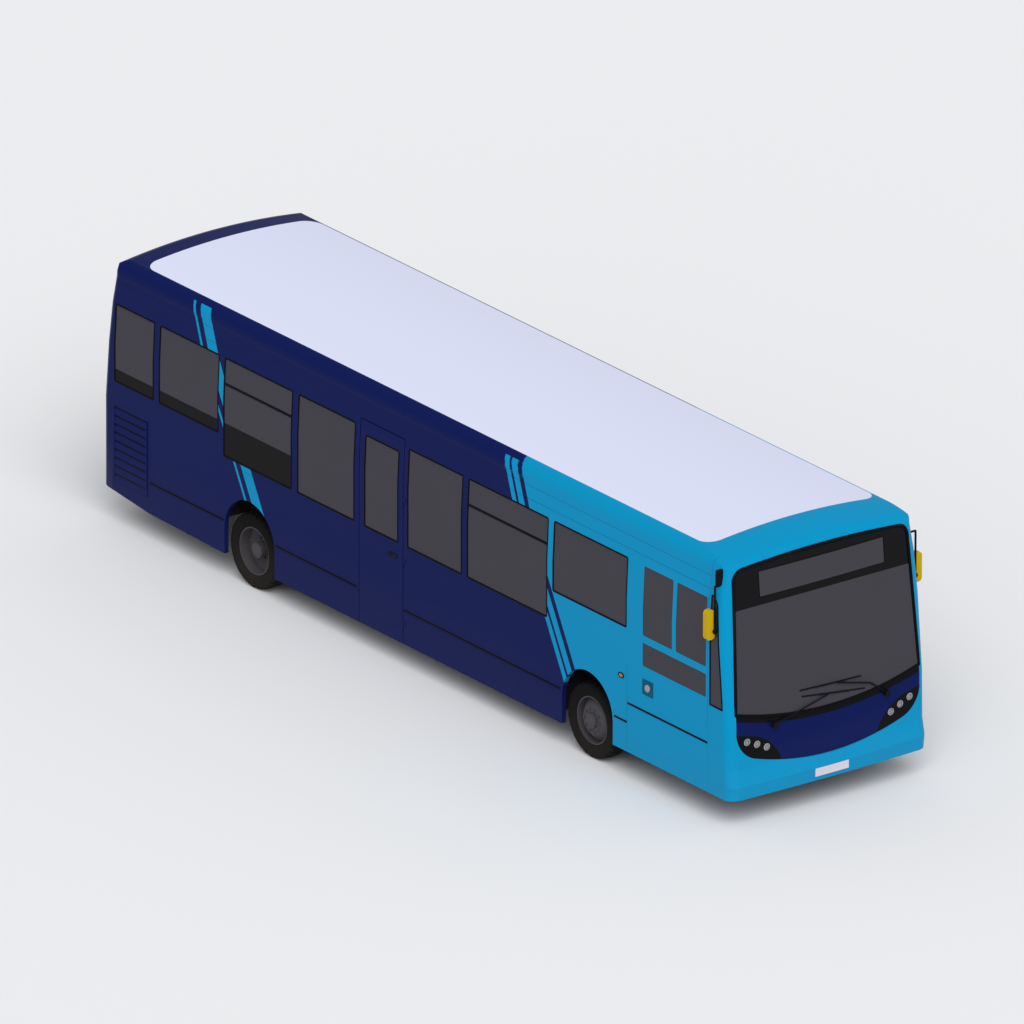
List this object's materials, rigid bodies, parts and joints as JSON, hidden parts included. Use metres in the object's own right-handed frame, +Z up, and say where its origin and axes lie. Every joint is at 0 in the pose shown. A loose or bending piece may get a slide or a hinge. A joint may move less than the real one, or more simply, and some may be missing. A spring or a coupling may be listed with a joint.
{
  "type": "city bus",
  "caption": "Low floor single deck city bus with twin leaf entrance door, emergency door, steered front wheels and twin rear wheels.",
  "frame": {"origin": "on the ground under the middle of the bus's length and width", "axes": "+Z up, the front of the bus towards -Y, its left side with the entrance door towards +X"},
  "size_m": [2.65, 10.4398, 2.8498],
  "materials": {
    "paint_cyan": "gloss",
    "paint_navy": "gloss",
    "paint_roof": "satin",
    "glass_tinted": "gloss",
    "lamp_glass": "gloss",
    "lamp_red": "gloss",
    "black_trim": "satin",
    "mirror_yellow": "satin",
    "tyre_rubber": "matte",
    "rim_steel": "satin",
    "chassis_steel": "satin",
    "door_frame": "gloss",
    "floor_vinyl": "matte",
    "seat_cloth": "matte",
    "cab_plastic": "matte",
    "engine_iron": "matte"
  },
  "bodies": {
    "bus": {"chassis_frame": "chassis_steel", "floor_deck": "floor_vinyl", "wheel_boxes": "floor_vinyl", "side_wall_right": "paint_cyan", "side_wall_left": "paint_cyan", "side_skirts": "paint_cyan", "roof": "paint_roof", "front_mask": "paint_cyan", "front_bumper": "paint_cyan", "rear_panel": "paint_navy", "windscreen": "glass_tinted", "corner_windows": "glass_tinted", "side_windows_right": "glass_tinted", "side_windows_left": "glass_tinted", "rear_window": "glass_tinted", "destination_display": "black_trim", "lamp_clusters": "black_trim", "headlamp_lenses": "lamp_glass", "rear_lamps": "lamp_red", "wipers": "black_trim", "mirror_arms": "black_trim", "mirror_heads": "mirror_yellow", "door_header": "cab_plastic", "dashboard": "cab_plastic", "steering_wheel": "black_trim", "driver_seat": "seat_cloth", "cab_partition": "cab_plastic", "seat_cushions": "seat_cloth", "seat_backs": "seat_cloth", "seat_pedestals": "chassis_steel", "front_axle": "chassis_steel", "rear_axle": "chassis_steel", "air_springs": "tyre_rubber", "engine_block": "engine_iron"},
    "knuckle_right": {"knuckle_right": "chassis_steel"},
    "knuckle_left": {"knuckle_left": "chassis_steel"},
    "wheel_front_right": {"tyre_front_right": "tyre_rubber", "rim_front_right": "rim_steel"},
    "wheel_front_left": {"tyre_front_left": "tyre_rubber", "rim_front_left": "rim_steel"},
    "wheels_rear_right": {"tyres_rear_right": "tyre_rubber", "rims_rear_right": "rim_steel"},
    "wheels_rear_left": {"tyres_rear_left": "tyre_rubber", "rims_rear_left": "rim_steel"},
    "post_front": {"door_post_front": "chassis_steel"},
    "post_rear": {"door_post_rear": "chassis_steel"},
    "leaf_front": {"door_leaf_front": "door_frame", "door_glass_front": "glass_tinted"},
    "leaf_rear": {"door_leaf_rear": "door_frame", "door_glass_rear": "glass_tinted"},
    "exit_door": {"emergency_door": "paint_navy", "emergency_door_glass": "glass_tinted"},
    "rear_cover": {"engine_cover": "paint_navy"}
  },
  "joints": [
    {"name": "steer_right", "type": "hinge", "parent": "bus", "child": "knuckle_right", "pos_m": [-0.905, -2.85, 0.395], "axis": [0, 0, 1], "range_deg": [-40, 40]},
    {"name": "steer_left", "type": "hinge", "parent": "bus", "child": "knuckle_left", "pos_m": [0.905, -2.85, 0.395], "axis": [0, 0, 1], "range_deg": [-40, 40]},
    {"name": "spin_front_right", "type": "hinge", "parent": "knuckle_right", "child": "wheel_front_right", "pos_m": [-1.07, -2.85, 0.395], "axis": [1, 0, 0], "continuous": true},
    {"name": "spin_front_left", "type": "hinge", "parent": "knuckle_left", "child": "wheel_front_left", "pos_m": [1.07, -2.85, 0.395], "axis": [1, 0, 0], "continuous": true},
    {"name": "spin_rear_right", "type": "hinge", "parent": "bus", "child": "wheels_rear_right", "pos_m": [-0.939, 2.71, 0.395], "axis": [1, 0, 0], "continuous": true},
    {"name": "spin_rear_left", "type": "hinge", "parent": "bus", "child": "wheels_rear_left", "pos_m": [0.939, 2.71, 0.395], "axis": [1, 0, 0], "continuous": true},
    {"name": "door_open", "type": "hinge", "parent": "bus", "child": "post_front", "pos_m": [1.19, -4.754, 0.36], "axis": [0, 0, 1], "range_deg": [0, 84]},
    {"name": "leaf_front_turn", "type": "hinge", "parent": "post_front", "child": "leaf_front", "pos_m": [1.19, -4.4485, 0.49], "axis": [0, 0, 1], "range_deg": [-168, 0]},
    {"name": "post_rear_turn", "type": "hinge", "parent": "bus", "child": "post_rear", "pos_m": [1.19, -3.516, 0.36], "axis": [0, 0, 1], "range_deg": [-84, 0]},
    {"name": "leaf_rear_turn", "type": "hinge", "parent": "post_rear", "child": "leaf_rear", "pos_m": [1.19, -3.8215, 0.49], "axis": [0, 0, 1], "range_deg": [0, 168]},
    {"name": "exit_door_hinge", "type": "hinge", "parent": "bus", "child": "exit_door", "pos_m": [-1.22, 0.17, 0.3], "axis": [0, 0, 1], "range_deg": [0, 95]},
    {"name": "engine_cover_hinge", "type": "hinge", "parent": "bus", "child": "rear_cover", "pos_m": [0, 5.211, 1.245], "axis": [1, 0, 0], "range_deg": [0, 75]}
  ],
  "couplings": [
    {"joint": "steer_left", "follows": "steer_right", "ratio": 1},
    {"joint": "leaf_front_turn", "follows": "door_open", "ratio": -2},
    {"joint": "post_rear_turn", "follows": "door_open", "ratio": -1},
    {"joint": "leaf_rear_turn", "follows": "door_open", "ratio": 2}
  ]
}
